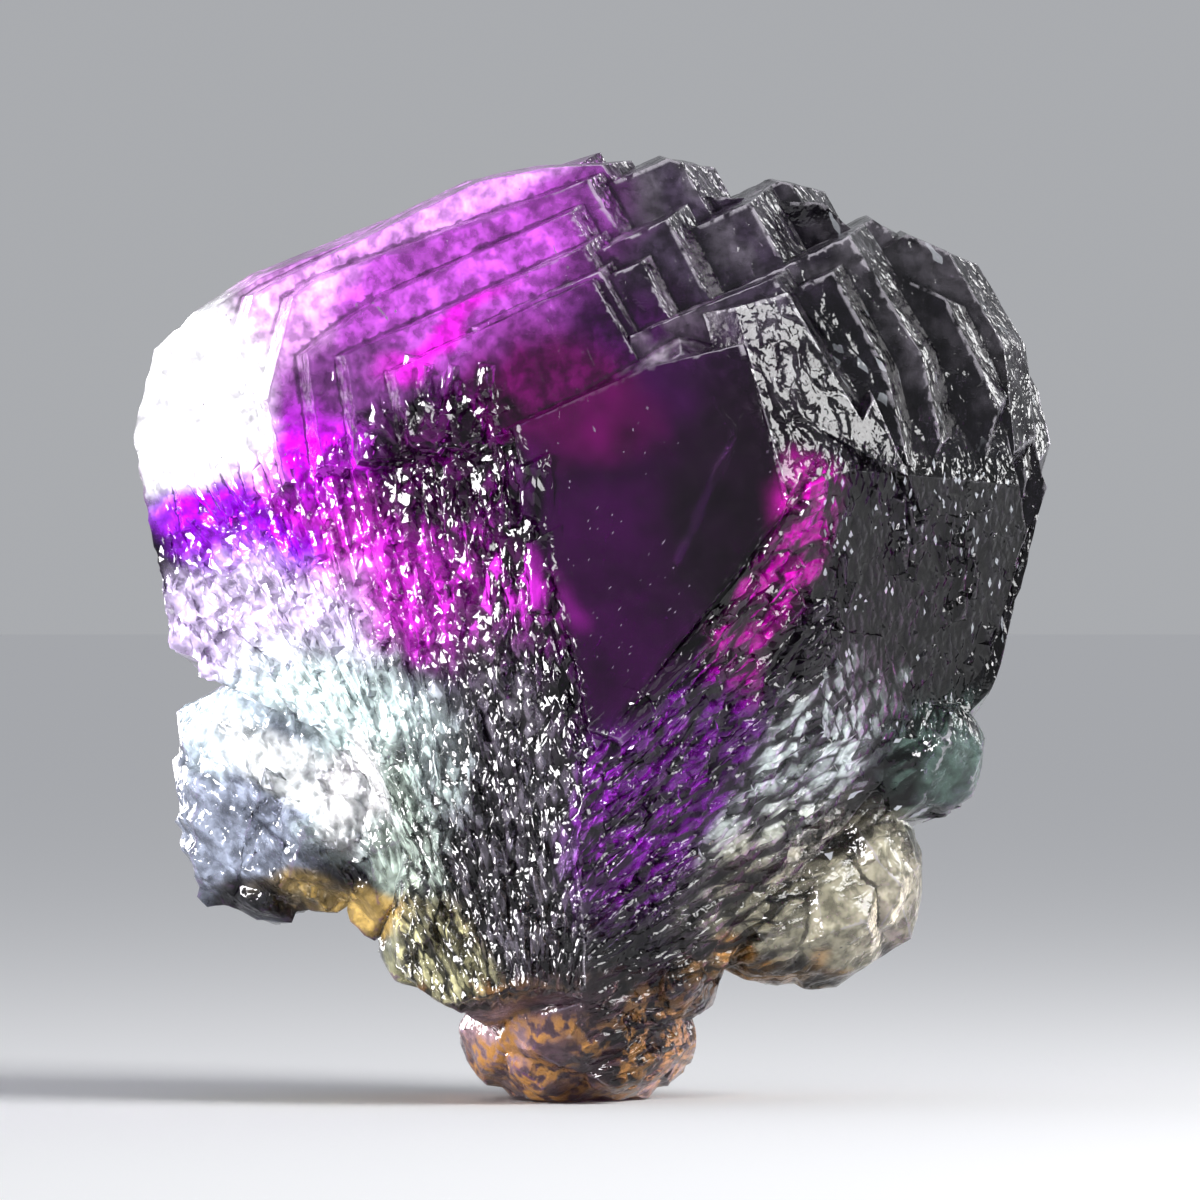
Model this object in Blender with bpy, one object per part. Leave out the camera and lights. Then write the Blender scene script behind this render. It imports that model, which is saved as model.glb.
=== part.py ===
"""A natural fluorite octahedron in stepped plates. It stands on the root that it broke off its rock with.

It is one piece: every growth form is convex, and all of them are fused into one solid. Lengths are in
millimetres until a form is made. X is to the right, Y away from the smooth face, Z up. The origin lies on the
flat cut of the root, and outlines are given as x and z in the front view.
"""

import math
import random

import bmesh
import bpy
from mathutils import Matrix, Vector

MM = 0.001

# Driving dimensions: the heart of the crystal, and how far the smooth face and the back lie from it
HEART = Vector((0, 0, 34))
SMOOTH_FACE_FROM_HEART = 16.9
BACK_FACE_FROM_HEART = 18.5
SMOOTH = Vector((0.09, -0.98, 0.16)).normalized()
BACK = Vector((-0.10, 0.97, 0.20)).normalized()

# Corners of the smooth face, and where the long faces beside it meet the outline
FACE_LEFT = Vector((-5.7, -16.0, 44.5))
FACE_RIGHT = Vector((13.0, -15.0, 40.2))
FACE_POINT = Vector((-0.2, -19.0, 23.5))
OUTLINE_LEFT = Vector((-29, -2.5, 36))
OUTLINE_RIGHT = Vector((28.5, -0.5, 36))

# Steps lean out towards their foot by this many degrees. The wide ones look right.
NARROW_STEP = 13
WIDE_STEP = 30

# Height of the low ledges between the wedge, the pillar and the smooth face
LEDGE = 0.3

# Plates seen from the front: depth behind the smooth face, thickness, outline. First the pink ones that step
# up to the left, then those around the summit, then the dark ones that step down to the right.
FRONT_PLATES = [
    (0.0, 3.0, [(-5.7, 44.5), (3.3, 48.5), (9.4, 50.0), (12.9, 40.0), (-0.2, 23.5)]),
    (2.4, 4.5, [(-13.5, 48.3), (-0.5, 54.3), (3.0, 48.0), (-2, 42), (-12.6, 43.5)]),
    (3.0, 4.0, [(-8, 51.2), (0.0, 54.9), (3.0, 49.5), (-6, 44)]),
    (3.6, 4.0, [(-6, 51.6), (2.7, 55.5), (5.4, 50.0), (-4, 45)]),
    (4.4, 4.5, [(-16.7, 49.3), (-1.0, 56.5), (2.5, 50), (-4, 42), (-15.6, 42.6)]),
    (5.6, 4.0, [(-6, 53.6), (4.5, 58.4), (8.6, 50.5), (-4, 46)]),
    (6.8, 4.5, [(-19.3, 49.5), (-14.7, 53.1), (-1.9, 58.9), (3, 50), (-6, 41), (-18.3, 42)]),
    (9.2, 4.5, [(-22.0, 46.5), (-20.3, 53.3), (-18.5, 54.6), (-0.7, 61.1), (5, 51), (-6, 40), (-20.8, 41)]),
    (11.8, 4.5, [(-24.6, 47.5), (-23.0, 53.4), (-21, 54.6), (-8.2, 61.0), (-3.6, 62.0),
                 (0.2, 62.2), (6, 53), (-6, 39), (-23.4, 40)]),
    (14.6, 5.0, [(-28.6, 44), (-28.2, 49.5), (-26.0, 52.4), (-22.4, 54.8), (-14.0, 58.3),
                 (-1.7, 62.2), (4, 53), (-6, 38), (-27.6, 38)]),
    (11.4, 4.5, [(-8, 57.2), (4.5, 62.6), (5.4, 62.4), (10.6, 53), (-6, 45)]),
    (8.2, 4.5, [(0, 55.0), (10.0, 59.6), (15, 50.5), (0, 44)]),
    (13.8, 4.5, [(2, 56.4), (12.0, 61.2), (12.8, 61.0), (18.6, 50.5), (2, 44)]),
    (2.6, 3.0, [(2, 50.6), (11.5, 54.4), (17.7, 43.9), (13.0, 40.8), (2, 43)]),
    (4.4, 3.4, [(6, 50.6), (15.4, 54.9), (18.8, 48.5), (20.3, 42.2), (8, 41)]),
    (6.4, 3.6, [(6, 52.3), (16.5, 57.3), (21.3, 49.5), (22.6, 43.5), (20, 38), (6, 40)]),
    (12.6, 4.5, [(8, 53.6), (18.2, 58.6), (19.2, 58.0), (23.0, 51.5), (8, 44)]),
    (9.0, 3.8, [(8, 50.0), (18.0, 55.6), (22.9, 53.3), (26.5, 46.0), (24, 37), (8, 38)]),
    (11.4, 3.4, [(10, 51.0), (20.5, 57.6), (23.2, 56.4), (26.9, 50.2), (27.6, 43), (23.5, 35.5), (10, 36)]),
    (14.4, 5.0, [(12, 50), (24, 53.4), (27.2, 47), (28.6, 40.8), (27.0, 35.9), (25.0, 29.0), (12, 28)]),
]

# The silver band: tilted plates in one plane, which step down from the right edge of the smooth face. The plane
# stands this far proud of the smooth face at the band's lowest corner.
BAND_LOOKS = Vector((0.45, -0.85, 0.27)).normalized()
BAND_CORNER = (12.4, 39.7)
BAND_PROUD = 0.4
BAND_THICKNESS = 3.0
BAND_OUTLINES = [
    [(8.9, 52.4), (12.3, 53.4), (14.9, 49.0), (15.9, 47.2), BAND_CORNER],
    [(13.2, 46.5), (15.0, 48.8), (17.9, 43.9), (18.6, 42.2), (14.6, 44.4)],
    [(17.0, 44.4), (18.1, 46.5), (20.3, 41.4), (17.6, 42.7)],
]

# Plates at the back: depth in front of the back face, thickness, outline
BACK_PLATES = [
    (0.0, 3.0, [(-12, 38), (-9, 47), (3, 52), (8, 43), (4, 34)]),
    (1.2, 3.0, [(-14, 35), (-11, 48.5), (4, 54.5), (13, 40), (8, 30)]),
    (2.6, 3.2, [(-8, 26), (-15, 34), (-12, 49.5), (2, 55.5), (9, 54), (17, 40), (11, 27)]),
    (4.6, 4.0, [(-18, 30), (-21, 43), (-16, 51), (5, 59), (9, 58), (19, 43), (14, 25), (0, 21)]),
    (6.8, 4.0, [(-22, 29), (-24, 45), (-10, 56.5), (5, 60.0), (13, 58), (22.0, 46), (19, 28), (2, 18)]),
    (9.4, 4.5, [(-25, 30), (-27, 46), (-19, 53.5), (-1, 60.4),
                (14, 59.6), (23.6, 50.5), (24.6, 36), (3, 16)]),
    (1.6, 3.6, [(4, 28), (6, 37), (11, 38.5), (14.5, 32), (11, 26)]),
    (4.0, 3.6, [(8, 25), (11, 34), (17, 35.5), (20, 29), (15, 23)]),
    (2.4, 3.6, [(-13, 27), (-10, 35), (-4, 37), (0, 30), (-6, 23)]),
    (5.0, 3.6, [(-20, 33), (-18.5, 43), (-12, 45), (-9, 35), (-15, 29)]),
]

# Lumps: middle x, y, z, then half sizes x, y, z
LUMP_CORNERS = 56
LUMP_ROUGHNESS = (0.84, 1.05)
CREAM_LOBE = [
    (11.0, -1.5, 12.2, 4.8, 6.0, 5.0),
    (14.8, 0.0, 12.6, 5.2, 6.6, 5.4),
    (17.4, 1.0, 15.1, 4.7, 6.2, 6.2),
    (13.5, 3.0, 18.0, 8.0, 7.5, 8.5),
]
GREEN_KNOB = [
    (22.2, 1.2, 23.0, 3.9, 5.0, 4.4),
    (20.1, 2.4, 22.8, 4.6, 6.6, 5.4),
]
LEFT_LOBE = [
    (-23.6, 2.6, 19.6, 5.2, 5.4, 7.4),
    (-22.0, 3.0, 16.2, 4.2, 5.6, 4.8),
    (-18.0, 2.4, 17.4, 5.6, 6.6, 5.4),
    (-14.0, 2.4, 16.4, 4.2, 7.0, 5.8),
    (-20.5, 3.4, 23.0, 8.2, 5.8, 7.0),
]
ROOT_LUMPS = [
    (-3.4, -7.4, 2.9, 2.9, 2.8, 2.5),
    (1.0, -7.6, 3.0, 3.1, 2.8, 2.6),
    (-6.0, 2.6, 2.6, 2.4, 4.8, 2.3),
    (3.9, 2.0, 2.9, 2.2, 5.0, 2.6),
    (-11.0, 1.6, 11.0, 4.0, 6.6, 4.4),
    (-11.2, -8.4, 12.6, 2.6, 5.6, 5.4),
    (-5.0, -1.2, 4.3, 4.6, 8.4, 4.0),
    (1.4, -0.8, 4.7, 5.4, 9.4, 4.4),
    (-2.0, -7.6, 6.0, 5.2, 5.4, 5.0),
    (-1.6, 4.6, 6.0, 6.6, 6.4, 5.4),
    (-8.4, -4.0, 9.8, 4.6, 8.0, 3.4),
    (4.4, -3.0, 8.4, 3.8, 7.4, 3.6),
]
BROKEN_BACK = [
    (-3.0, 8.0, 15.0, 8.5, 6.0, 8.0),
    (6.0, 8.0, 20.0, 9.0, 6.5, 8.0),
    (-11.0, 8.0, 23.0, 8.5, 5.5, 7.5),
    (14.0, 7.0, 27.0, 8.0, 5.5, 7.0),
]

# The root: its middle and half sizes. The cut at Z = 0 goes through it.
ROOT_MIDDLE = Vector((-1.2, 0.4, 4.6))
ROOT_HALF = Vector((7.2, 10.4, 6.6))
ROOT_CORNERS = 112

# Laths are low ridges on the etched faces: slope of their sides in degrees, how steeply an end falls (1 is
# upright), how deep they reach under the face, and their widths
LATH_SLOPE = 42
LATH_END = 0.8
LATH_SUNK = 0.8
LATH_WIDTH = (0.9, 1.9)

# As shares of a line of laths: their length and the gap between two. As shares of their width: their height.
# The rise is how much higher one end is than the other, for each millimetre of length.
LATH_LENGTH = (0.10, 0.30)
LATH_GAP = 0.012
LATH_HEIGHT = (0.25, 0.45)
LATH_RISE = 0.12

# Lines of laths on the left face. The first ones start down its outer edge, the others along its top. Their
# ends lie along the foot of the face.
LEFT_LINES = 20
LEFT_TOP = Vector((-28.0, 43.5))
LEFT_TOP_RUN = 24.0
LEFT_EDGE_DROP = 12.0
LEFT_EDGE_SHARE = 0.18
LEFT_FOOT = Vector((-13.6, 23.5))
LEFT_FOOT_RUN = 11.0
LEFT_FOOT_DROP = 15.0
LEFT_SLACK = 0.45

# Lines of laths on the right face, from the foot of the ridge upwards. Each is steeper and shorter than the
# one before: slopes in degrees and lengths of the first and the last.
RIGHT_LINES = 13
RIGHT_FOOT = Vector((-2.0, 9.0))
RIGHT_FOOT_RUN = Vector((2.2, 15.0))
RIGHT_SLOPES = (32, 48)
RIGHT_LENGTHS = (24, 19)
RIGHT_SLACK = 0.3

# Splinters are short upright laths: their widths, heights as shares of the width, and rise. For each patch:
# how many, its left, right, low and high bounds, and the longest.
SPLINTER_WIDTH = (0.6, 1.3)
SPLINTER_HEIGHT = (0.3, 0.6)
SPLINTER_RISE = 0.3
BESIDE_SMOOTH_FACE = (12, -12.4, -6.5, 43.0, 47.0, 2.5)
UPPER_LEFT_FACE = (12, -13, -7, 37, 43, 2.8)
DARK_RIGHT_SIDE = (26, 15, 26, 30, 38.5, 2.6)

# Deep purple crystal
COLOUR = (0.16, 0.02, 0.24, 1)
ROUGHNESS = 0.18


def facing(x, y, z, point):
    """The plane through a point that looks in the direction x, y, z."""
    return Vector(point), Vector((x, y, z)).normalized()


def face_through(a, b, c, outside):
    """The plane through three points, with its normal towards the point outside."""
    normal = (b - a).cross(c - a).normalized()
    if normal.dot(outside - a) < 0:
        normal.negate()
    return a, normal


LOWER_LEFT = face_through(FACE_LEFT, FACE_POINT, OUTLINE_LEFT, Vector((-40, -40, 20)))
LOWER_RIGHT = face_through(FACE_RIGHT, FACE_POINT, OUTLINE_RIGHT, Vector((40, -40, 20)))


def behind_smooth(depth):
    return HEART + SMOOTH * (SMOOTH_FACE_FROM_HEART - depth), SMOOTH


def before_back(depth):
    return HEART + BACK * (BACK_FACE_FROM_HEART - depth), BACK


def before(plane, distance):
    point, normal = plane
    return point + normal * distance, normal


def on_plane(plane, x, z):
    """The point of a plane that lies at (x, z) in the front view."""
    point, normal = plane
    y = point.y - (normal.x * (x - point.x) + normal.z * (z - point.z)) / normal.y
    return Vector((x, y, z))


def trim(form, plane):
    """Cuts away what lies outside a plane, and closes the form there."""
    point, normal = plane
    cut = bmesh.ops.bisect_plane(
        form,
        geom=form.verts[:] + form.edges[:] + form.faces[:],
        dist=1e-8,
        plane_co=point * MM,
        plane_no=normal,
        clear_outer=True,
    )
    rim = [edge for edge in cut["geom_cut"] if isinstance(edge, bmesh.types.BMEdge)]
    if rim:
        bmesh.ops.edgeloop_fill(form, edges=rim)


def block(planes, middle=HEART, reach=45):
    """A convex growth form: a cube cut down by each plane in turn."""
    form = bmesh.new()
    bmesh.ops.create_cube(form, size=2 * reach * MM, matrix=Matrix.Translation(middle * MM))
    for plane in planes:
        trim(form, plane)
    return form


def plate(face, thickness, outline):
    """One growth plate: a face with this outline, whose steps lean out towards the body."""
    point, normal = face
    corners = [on_plane(face, x, z) for x, z in outline]
    middle = sum(corners, Vector()) / len(corners)
    planes = [face, (point - normal * thickness, -normal)]
    for start, end in zip(corners, corners[1:] + corners[:1]):
        out = (end - start).cross(normal).normalized()
        if out.dot(middle - start) > 0:
            out.negate()
        looks_right = out.x > 0.6 and out.z > 0 and normal.y < 0
        lean = math.radians(WIDE_STEP if looks_right else NARROW_STEP)
        planes.append((start, out * math.cos(lean) + normal * math.sin(lean)))
    return block(planes)


def plates():
    front = [plate(behind_smooth(depth), thickness, outline) for depth, thickness, outline in FRONT_PLATES]
    back = [plate(before_back(depth), thickness, outline) for depth, thickness, outline in BACK_PLATES]
    tilted = (on_plane(behind_smooth(-BAND_PROUD), *BAND_CORNER), BAND_LOOKS)
    band = [plate(tilted, BAND_THICKNESS, outline) for outline in BAND_OUTLINES]
    return front + back + band


def wedge():
    """The body under the smooth face and the two long faces."""
    return block(
        [
            behind_smooth(LEDGE),
            LOWER_LEFT,
            LOWER_RIGHT,
            facing(0, 1, 0, (0, 6, 0)),
            facing(-0.38, -0.42, 0.80, on_plane(behind_smooth(0), 3.3, 48.0)),
            facing(0.45, -0.85, 0.27, on_plane(behind_smooth(0), 11.0, 46.5)),
            facing(0.60, -0.66, 0.42, on_plane(behind_smooth(2.4), 15.0, 46.0)),
            facing(0.25, -0.42, 0.87, on_plane(behind_smooth(0), 8.0, 48.5)),
            facing(-0.98, 0, -0.2, (-27.0, 0, 31)),
            facing(-0.40, 0, -0.92, (-13.3, 0, 22.5)),
            facing(0.66, 0, -0.75, (23.0, 0, 25.5)),
            facing(0.97, 0, 0.2, (28.0, 0, 40)),
            facing(0.96, 0, -0.28, (29.2, 0, 40.5)),
        ]
    )


def girdle():
    """The widest part, between the front plates and the back plates. It gives most of the outline."""
    return block(
        [
            behind_smooth(15.5),
            before_back(11.5),
            facing(-0.97, 0.15, -0.20, (-30.0, 1, 42)),
            facing(-0.97, 0.2, 0.2, (-30.2, 1, 44.6)),
            facing(-0.72, 0.1, 0.68, (-28.2, 1, 51.0)),
            facing(-0.42, 0.1, 0.90, (-18, 2, 55.6)),
            facing(-0.38, -0.1, -0.92, (-15, 0, 24)),
            facing(0, 0, 1, (0, 0, 61)),
            facing(0.42, 0.1, 0.90, (19, 2, 57.6)),
            facing(0.97, 0.1, 0.21, (29.8, 2, 41.0)),
            facing(0.88, 0.1, 0.46, (26.4, 2, 51)),
            facing(0.96, 0.1, -0.28, (29.8, 2, 40.5)),
            facing(0.72, -0.1, -0.69, (24.0, 0, 25)),
        ]
    )


def pillar():
    """The lower middle, which carries the long faces down to the root."""
    return block(
        [
            behind_smooth(2 * LEDGE),
            before(LOWER_LEFT, LEDGE),
            before(LOWER_RIGHT, LEDGE),
            facing(-0.99, -0.1, 0.05, (-13.3, 0, 18)),
            facing(-0.5, 0, -0.85, (-12.6, 0, 8.2)),
            facing(0.05, -0.35, -0.94, (0, -12, 6.5)),
            facing(0.75, 0, -0.66, (8.5, 0, 9.5)),
            facing(0.1, 0.80, -0.60, (0, 9, 9)),
            facing(0.95, 0, 0.3, (20, 0, 27)),
            facing(0.05, 0.1, 1, (0, 0, 31)),
            facing(0, 1, 0, (0, 12, 0)),
        ]
    )


def lump(middle, half, corners, dice):
    """A rough rounded lump: the hull of points spread evenly over an ellipsoid, each moved in or out."""
    form = bmesh.new()
    for number in range(corners):
        height = 1 - 2 * (number + 0.5) / corners
        spread = math.sqrt(1 - height * height)
        turn = number * math.pi * (3 - math.sqrt(5))
        out = Vector((spread * math.cos(turn), spread * math.sin(turn), height))
        out *= dice.uniform(*LUMP_ROUGHNESS)
        form.verts.new((middle + out * half) * MM)
    hull = bmesh.ops.convex_hull(form, input=form.verts)
    bmesh.ops.delete(form, geom=hull["geom_interior"], context="VERTS")
    return form


def lumps():
    dice = random.Random(7)
    places = CREAM_LOBE + GREEN_KNOB + LEFT_LOBE + ROOT_LUMPS + BROKEN_BACK
    return [lump(Vector(place[:3]), Vector(place[3:]), LUMP_CORNERS, dice) for place in places]


def root():
    """The root, a rough lump that is cut off flat below."""
    form = lump(ROOT_MIDDLE, ROOT_HALF, ROOT_CORNERS, random.Random(8))
    trim(form, facing(0, 0, -1, (0, 0, 0)))
    return form


def lath(plane, start, end, width, height, rise):
    """A low ridge like a split lath on a face, from start to end in the front view, higher at one end."""
    normal = plane[1]
    foot = on_plane(plane, *start)
    tip = on_plane(plane, *end)
    along = (tip - foot).normalized()
    side = normal.cross(along)
    slope = math.radians(LATH_SLOPE)
    crest = (normal - along * rise).normalized()
    end_slope = math.sqrt(1 - LATH_END * LATH_END)
    return block(
        [
            (foot + side * width / 2, side * math.sin(slope) + normal * math.cos(slope)),
            (foot - side * width / 2, -side * math.sin(slope) + normal * math.cos(slope)),
            (foot, -along * LATH_END + normal * end_slope),
            (tip, along * LATH_END + normal * end_slope),
            ((foot + tip) / 2 + normal * height, crest),
            (foot - normal * LATH_SUNK, -normal),
        ],
        middle=(foot + tip) / 2,
        reach=20,
    )


def around(dice, slack):
    return Vector((dice.uniform(-slack, slack), dice.uniform(-slack, slack)))


def split_laths(plane, start, end, dice, slack):
    """One line of laths, end to end with small gaps, each a little off the line."""
    found = []
    along = dice.uniform(0.0, 0.06)
    while along < 0.94:
        length = dice.uniform(*LATH_LENGTH)
        near = start.lerp(end, along) + around(dice, slack)
        far = start.lerp(end, min(1, along + length - LATH_GAP)) + around(dice, slack)
        width = dice.uniform(*LATH_WIDTH)
        height = width * dice.uniform(*LATH_HEIGHT)
        found.append(lath(plane, near, far, width, height, dice.uniform(-LATH_RISE, LATH_RISE)))
        along += length
    return found


def left_laths():
    """Etched ridges that run down the left face and draw together towards the root."""
    dice = random.Random(11)
    found = []
    for line in range(LEFT_LINES):
        share = (line + 0.5) / LEFT_LINES
        along_top = max(0, share - LEFT_EDGE_SHARE) / (1 - LEFT_EDGE_SHARE)
        down_edge = max(0, 1 - share / LEFT_EDGE_SHARE)
        top = LEFT_TOP + Vector((LEFT_TOP_RUN * along_top, -LEFT_EDGE_DROP * down_edge))
        foot = LEFT_FOOT + Vector((LEFT_FOOT_RUN * share, -LEFT_FOOT_DROP * min(1, share * 2)))
        found += split_laths(LOWER_LEFT, top, foot, dice, LEFT_SLACK)
    return found


def right_laths():
    """Etched ridges that fan out from the foot of the ridge, up across the right face."""
    dice = random.Random(12)
    first_slope, last_slope = RIGHT_SLOPES
    first_length, last_length = RIGHT_LENGTHS
    found = []
    for line in range(RIGHT_LINES):
        share = (line + 0.5) / RIGHT_LINES
        foot = RIGHT_FOOT + RIGHT_FOOT_RUN * share
        slope = math.radians(first_slope + (last_slope - first_slope) * share)
        length = first_length + (last_length - first_length) * share
        tip = foot + Vector((math.cos(slope), math.sin(slope))) * length
        found += split_laths(LOWER_RIGHT, foot, tip, dice, RIGHT_SLACK)
    return found


def splinters_on(plane, patch, dice):
    count, left, right, low, high, longest = patch
    found = []
    for number in range(count):
        start = Vector((dice.uniform(left, right), dice.uniform(low, high)))
        end = start + Vector((dice.uniform(-0.5, 0.5), dice.uniform(0.4, 1.0) * longest))
        width = dice.uniform(*SPLINTER_WIDTH)
        height = width * dice.uniform(*SPLINTER_HEIGHT)
        rise = dice.uniform(-SPLINTER_RISE, SPLINTER_RISE)
        found.append(lath(plane, start, end, width, height, rise))
    return found


def splinters():
    """Splinters where the left plates run out beside the smooth face, and on the dark right side."""
    dice = random.Random(13)
    beside_face = splinters_on(behind_smooth(2.4), BESIDE_SMOOTH_FACE, dice)
    left_side = splinters_on(LOWER_LEFT, UPPER_LEFT_FACE, dice)
    right_side = splinters_on(LOWER_RIGHT, DARK_RIGHT_SIDE, dice)
    return beside_face + left_side + right_side


def as_object(name, form):
    mesh = bpy.data.meshes.new(name)
    bmesh.ops.recalc_face_normals(form, faces=form.faces)
    form.to_mesh(mesh)
    form.free()
    return bpy.data.objects.new(name, mesh)


def crystal():
    made = bpy.data.materials.new("fluorite")
    made.use_nodes = True
    shader = made.node_tree.nodes["Principled BSDF"]
    shader.inputs["Base Color"].default_value = COLOUR
    shader.inputs["Roughness"].default_value = ROUGHNESS
    shader.inputs["Metallic"].default_value = 0
    return made


def fluorite():
    """The whole specimen: every growth form as one solid. The forms themselves stay out of the scene."""
    body = as_object("fluorite", wedge())
    body.data.materials.append(crystal())
    bpy.context.scene.collection.objects.link(body)
    growths = bpy.data.collections.new("growths")
    grown_on = [girdle(), pillar(), root()] + plates() + lumps() + left_laths() + right_laths() + splinters()
    for number, form in enumerate(grown_on):
        growths.objects.link(as_object(f"growth_{number}", form))
    fuse = body.modifiers.new("fuse", "BOOLEAN")
    fuse.operand_type = "COLLECTION"
    fuse.collection = growths
    fuse.operation = "UNION"
    fuse.solver = "EXACT"


def main():
    for old in list(bpy.data.objects):
        bpy.data.objects.remove(old)
    fluorite()


main()
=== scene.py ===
import math

import bmesh
import bpy
import numpy as np
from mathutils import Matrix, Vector


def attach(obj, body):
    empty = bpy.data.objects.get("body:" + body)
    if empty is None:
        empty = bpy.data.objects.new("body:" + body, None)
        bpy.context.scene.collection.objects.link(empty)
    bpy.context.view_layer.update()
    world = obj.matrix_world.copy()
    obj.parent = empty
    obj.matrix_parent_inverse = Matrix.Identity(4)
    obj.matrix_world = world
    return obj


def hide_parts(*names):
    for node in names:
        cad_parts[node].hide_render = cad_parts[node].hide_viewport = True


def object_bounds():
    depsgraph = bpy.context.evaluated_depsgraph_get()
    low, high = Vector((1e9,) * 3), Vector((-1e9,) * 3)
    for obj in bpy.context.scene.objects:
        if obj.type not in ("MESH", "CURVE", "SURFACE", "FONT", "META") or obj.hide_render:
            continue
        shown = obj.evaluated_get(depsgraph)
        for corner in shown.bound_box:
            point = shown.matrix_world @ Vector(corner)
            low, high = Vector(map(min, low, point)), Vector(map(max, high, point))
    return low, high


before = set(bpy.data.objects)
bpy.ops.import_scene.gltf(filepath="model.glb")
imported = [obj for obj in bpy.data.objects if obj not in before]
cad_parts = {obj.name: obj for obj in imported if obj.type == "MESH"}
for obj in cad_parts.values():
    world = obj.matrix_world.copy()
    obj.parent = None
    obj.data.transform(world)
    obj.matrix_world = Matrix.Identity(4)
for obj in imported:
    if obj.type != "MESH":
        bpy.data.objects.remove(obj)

CAD_LOW, CAD_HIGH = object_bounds()

# The stone is one crystal of natural fluorite, an octahedron that grew in stepped plates. It has two long
# etched faces below, pale lobes at both sides, and the stained root that it broke off its rock with.
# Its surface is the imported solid's, cut finer and raised by the relief that growth and etching left.
MM = 0.001
DOUBLES_APART = 1e-7
COPLANAR = math.radians(0.3)
SHARP_EDGE = math.radians(24)
# The longest triangle edges in millimetres, and the y and z below which the short ones are used
FINE_EDGE = 0.54
COARSE_EDGE = 0.92
FINE_BELOW = (-1, 46)


def facets(node):
    """The node's corners in millimetres, and its triangles. Doubles are merged, and flat neighbours are
    made one facet, before the facets are cut into triangles again."""
    form = bmesh.new()
    form.from_mesh(node.data)
    bmesh.ops.remove_doubles(form, verts=form.verts, dist=DOUBLES_APART)
    bmesh.ops.dissolve_limit(form, angle_limit=COPLANAR, verts=form.verts, edges=form.edges)
    bmesh.ops.triangulate(form, faces=form.faces)
    whole = bpy.data.meshes.new("facets")
    form.to_mesh(whole)
    form.free()
    places = np.empty(len(whole.vertices) * 3, np.float32)
    whole.vertices.foreach_get("co", places)
    corners = np.empty(len(whole.polygons) * 3, np.int32)
    whole.polygons.foreach_get("vertices", corners)
    bpy.data.meshes.remove(whole)
    return places.reshape(-1, 3).astype(float) / MM, corners.reshape(-1, 3).astype(np.int64)


def edge_limit(points):
    """The longest edge allowed there: short on the etched front, which has the finest relief, else longer."""
    front = (points[:, 1] < FINE_BELOW[0]) & (points[:, 2] < FINE_BELOW[1])
    return np.where(front, FINE_EDGE, COARSE_EDGE)


def turned(rows, start):
    """Each row of three, begun at its own start."""
    return np.take_along_axis(rows, (start[:, None] + np.arange(3)) % 3, axis=1).T


def halved(points, triangles):
    """Splits the longest edge of each triangle where it is over the limit. A triangle is then cut by how
    many of its edges got a middle point: one edge gives two triangles, two edges give three, by the shorter
    diagonal, and three edges give four."""
    ends = np.sort(triangles[:, [[0, 1], [1, 2], [2, 0]]], axis=2)
    edges, side = np.unique(ends[..., 0] * len(points) + ends[..., 1], return_inverse=True)
    side = side.reshape(-1, 3)
    first, last = points[edges // len(points)], points[edges % len(points)]
    middle, length = (first + last) / 2, np.linalg.norm(last - first, axis=1)
    longest = np.take_along_axis(side, length[side].argmax(axis=1)[:, None], axis=1)[:, 0]
    split = np.zeros(len(edges), bool)
    split[longest[length[longest] > edge_limit(middle)[longest]]] = True
    number = np.where(split, len(points) - 1 + np.cumsum(split), -1)[side]
    points = np.concatenate([points, middle[split]])
    count = (number >= 0).sum(axis=1)
    made = [triangles[count == 0]]

    one, its = triangles[count == 1], number[count == 1]
    start = (its >= 0).argmax(axis=1)
    (a, b, c), (m, _, _) = turned(one, start), turned(its, start)
    made += [np.stack([a, m, c], 1), np.stack([m, b, c], 1)]

    two, its = triangles[count == 2], number[count == 2]
    start = (its < 0).argmax(axis=1) + 1
    (a, b, c), (m, n, _) = turned(two, start), turned(its, start)
    one_way = np.linalg.norm(points[a] - points[n], axis=1)
    short = one_way < np.linalg.norm(points[m] - points[c], axis=1)
    made.append(np.stack([m, b, n], 1))
    made.append(np.stack([a, m, np.where(short, n, c)], 1))
    made.append(np.stack([np.where(short, a, m), n, c], 1))

    a, b, c = triangles[count == 3].T
    m, n, o = number[count == 3].T
    made += [np.stack(corner, 1) for corner in ((a, m, o), (m, b, n), (o, n, c), (m, n, o))]
    return points, np.concatenate(made), bool(split.any())


def refined(node):
    """The node's surface in triangles small enough to carry the relief, still closed."""
    points, triangles = facets(node)
    more = True
    while more:
        points, triangles, more = halved(points, triangles)
    mesh = bpy.data.meshes.new("fluorite_crystal")
    mesh.from_pydata(points * MM, [], triangles)
    return mesh


# Large odd numbers: one for each coordinate and one for the seed, and one that mixes the outcome
FACTORS = (73856093, 19349663, 83492791)
SEED_FACTOR = 97531
MIXER = 1274126177


def scattered(cells, seed):
    """A number from 0 to 1 for each whole-numbered cell. The coordinates are multiplied by large odd
    numbers, joined by exclusive or, and mixed."""
    first, second, third = (cells * FACTORS).T
    mixed = first ^ second ^ third ^ seed * SEED_FACTOR
    mixed = (mixed ^ mixed >> 13) * MIXER
    return ((mixed ^ mixed >> 16) & 0xFFFFFF) / 0xFFFFFF


def rolling(points, seed):
    """Smooth noise from -1 to 1: the numbers at the eight corners of a point's cell, blended along each axis
    by 3t^2 - 2t^3."""
    low = np.floor(points).astype(np.int64)
    share = points - low
    share = share * share * (3 - 2 * share)
    total = np.zeros(len(points))
    for corner in np.ndindex(2, 2, 2):
        weight = np.prod(np.where(corner, share, 1 - share), axis=1)
        total += weight * scattered(low + corner, seed)
    return 2 * total - 1


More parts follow.
